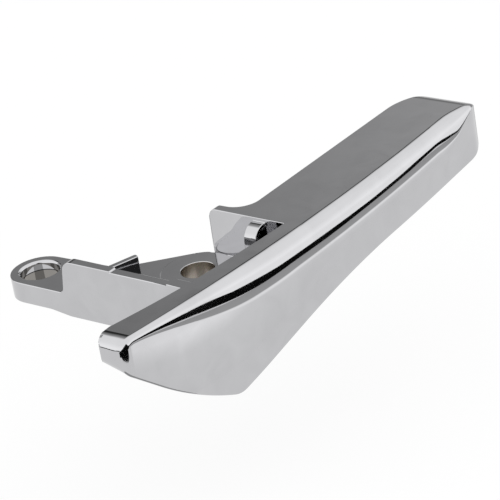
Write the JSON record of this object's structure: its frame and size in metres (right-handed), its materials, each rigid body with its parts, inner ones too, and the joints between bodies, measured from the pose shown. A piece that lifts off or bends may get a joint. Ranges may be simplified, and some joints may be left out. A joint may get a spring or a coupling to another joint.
{
  "type": "car interior door handle lever",
  "caption": "One-piece chrome-plated pull lever for a car's inner door handle: bladed grip, ribbed arm with a pivot eye, and a web with a link hole.",
  "frame": {"origin": "on the pivot axis, halfway through the thickness of the pivot eye", "axes": "+Z along the pivot axis towards the grip's flat top, +X along the grip from its pointed end to its broad end, -Y towards the person who pulls"},
  "size_m": [0.1388, 0.0704, 0.028],
  "materials": {
    "chrome_plating": "bright chrome plating on a polished zinc casting"
  },
  "bodies": {
    "root": {"handle_lever": "chrome_plating"}
  },
  "joints": []
}
